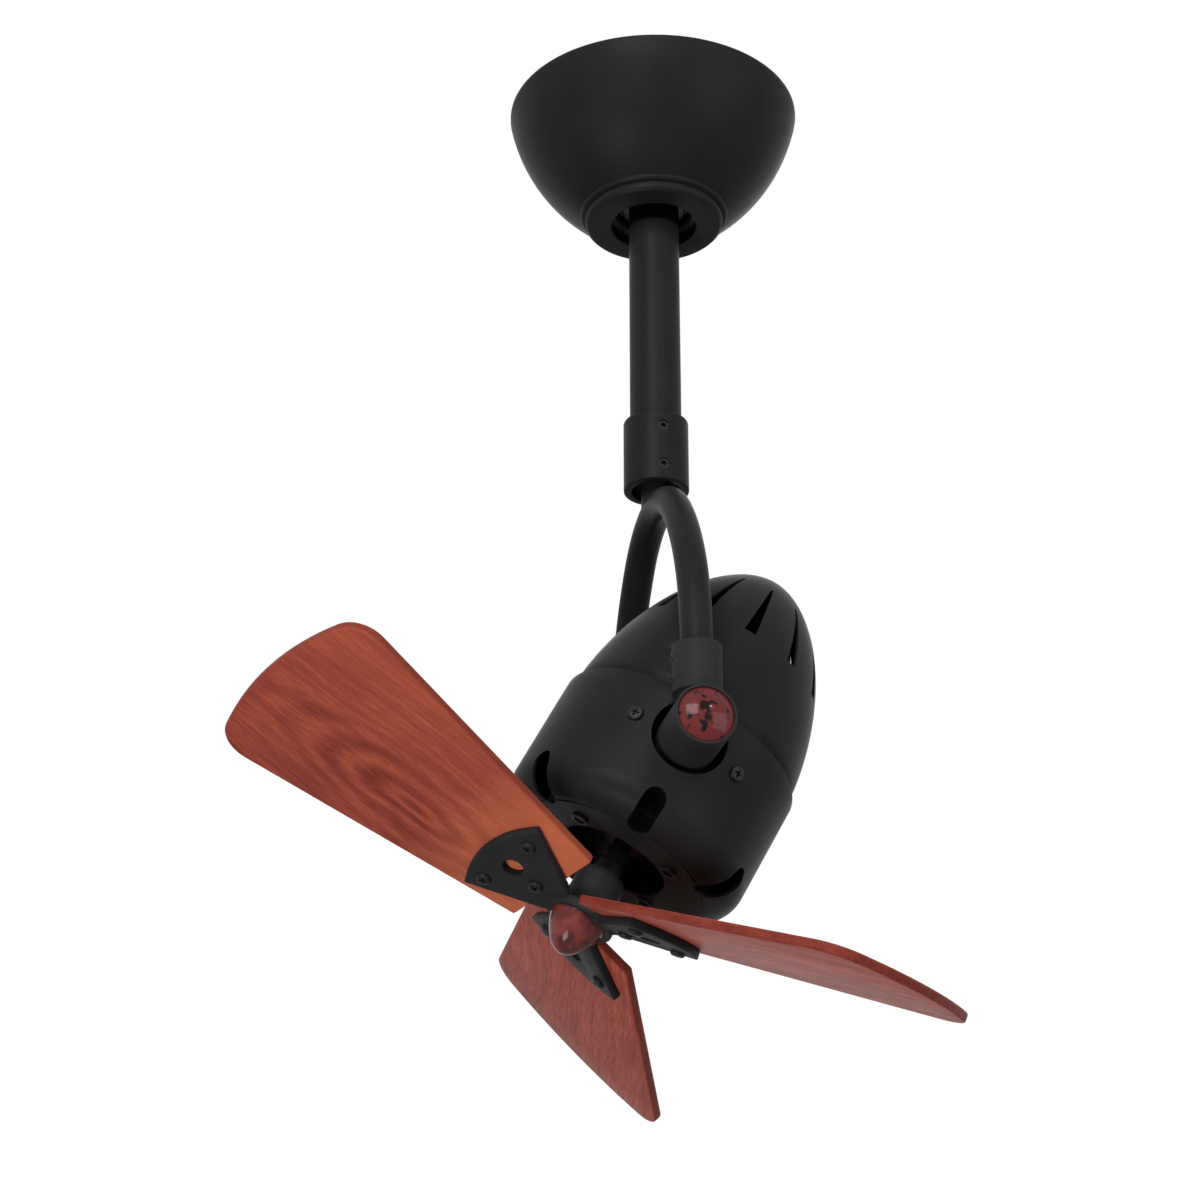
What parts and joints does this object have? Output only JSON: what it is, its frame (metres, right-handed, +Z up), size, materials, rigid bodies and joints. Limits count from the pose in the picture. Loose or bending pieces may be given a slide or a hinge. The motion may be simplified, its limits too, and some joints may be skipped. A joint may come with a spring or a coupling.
{
  "type": "oscillating ceiling fan",
  "caption": "Oscillating ceiling fan: domed canopy, downrod and bent fork carry a tilting motor head with flat wooden blades, black metal body and marbled caps.",
  "frame": {"origin": "centre of the ceiling plane, where the hanger plate and the canopy's rim meet the ceiling, on the axis of the downrod", "axes": "+Z up; the head tilts about X, with the boss nearer the picture's viewpoint at +X; the fan blows towards -Y and down"},
  "size_m": [0.3746, 0.3532, 0.5559],
  "materials": {
    "black_metal": "satin powder coat",
    "black_screw": "black oxide",
    "zinc_steel": "zinc plated",
    "bearing_steel": "ground",
    "cast_alloy": "as cast",
    "motor_can": "pressed can",
    "gear_nylon": "moulded nylon",
    "bronze": "sintered bronze",
    "core_steel": "stacked laminations",
    "copper": "enamelled copper wire",
    "fibre": "fibre friction washer",
    "wood": "mahogany stain, satin varnish",
    "marbled_cap": "polished, marbled red and black"
  },
  "bodies": {
    "mount": {"hanger_plate": "zinc_steel", "housing_screws": "zinc_steel", "bearing_housing": "cast_alloy", "upper_outer_race": "bearing_steel", "lower_outer_race": "bearing_steel", "swing_motor": "motor_can", "motor_screws": "zinc_steel", "canopy": "black_metal", "trim_ring": "black_metal"},
    "swing": {"downrod": "black_metal", "swing_gear": "gear_nylon", "upper_inner_race": "bearing_steel", "lower_inner_race": "bearing_steel", "coupling": "black_metal", "coupling_screw_1": "black_screw", "coupling_screw_2": "black_screw", "fork": "black_metal", "foot_near": "black_metal", "foot_far": "black_metal", "foot_screw_upper_near": "black_screw", "foot_screw_lower_near": "black_screw", "foot_screw_upper_far": "black_screw", "foot_screw_lower_far": "black_screw", "boss_cap_near": "marbled_cap", "boss_cap_far": "marbled_cap"},
    "pinion": {"swing_pinion": "gear_nylon"},
    "head": {"front_bowl": "black_metal", "rear_dome": "black_metal", "motor_frame": "cast_alloy", "front_bell": "cast_alloy", "rear_bell": "cast_alloy", "shaft_bush_front": "bronze", "shaft_bush_rear": "bronze", "stator_core": "core_steel", "winding_front": "copper", "winding_rear": "copper", "tilt_washer_near": "fibre", "tilt_washer_far": "fibre", "tilt_bolt_near": "zinc_steel", "tilt_bolt_far": "zinc_steel", "side_screw_1": "black_screw", "side_screw_2": "black_screw", "side_screw_3": "black_screw", "side_screw_4": "black_screw", "face_screw_1": "black_screw", "face_screw_2": "black_screw", "face_screw_3": "black_screw", "face_screw_4": "black_screw"},
    "rotor": {"fan_shaft": "zinc_steel", "rotor_core": "cast_alloy", "shaft_collar": "zinc_steel", "blade_spider": "black_metal", "blade_1": "wood", "blade_2": "wood", "blade_3": "wood", "blade_screws_1": "black_screw", "blade_screws_2": "black_screw", "blade_screws_3": "black_screw", "nose": "marbled_cap"}
  },
  "joints": [
    {"name": "swing_turn", "type": "hinge", "parent": "mount", "child": "swing", "pos_m": [0, 0, -0.047], "axis": [0, 0, 1], "range_deg": [-45, 45]},
    {"name": "pinion_turn", "type": "hinge", "parent": "mount", "child": "pinion", "pos_m": [-0.039, 0, -0.026], "axis": [0, 0, 1], "range_deg": [-151, 151]},
    {"name": "head_tilt", "type": "hinge", "parent": "swing", "child": "head", "pos_m": [0, 0, -0.40966], "axis": [1, 0, 0], "range_deg": [-61.25, 118.75]},
    {"name": "fan_spin", "type": "hinge", "parent": "head", "child": "rotor", "pos_m": [0, 0, -0.40966], "axis": [0, -0.481, -0.8767], "continuous": true}
  ],
  "couplings": [
    {"joint": "pinion_turn", "follows": "swing_turn", "ratio": -3.3333}
  ]
}
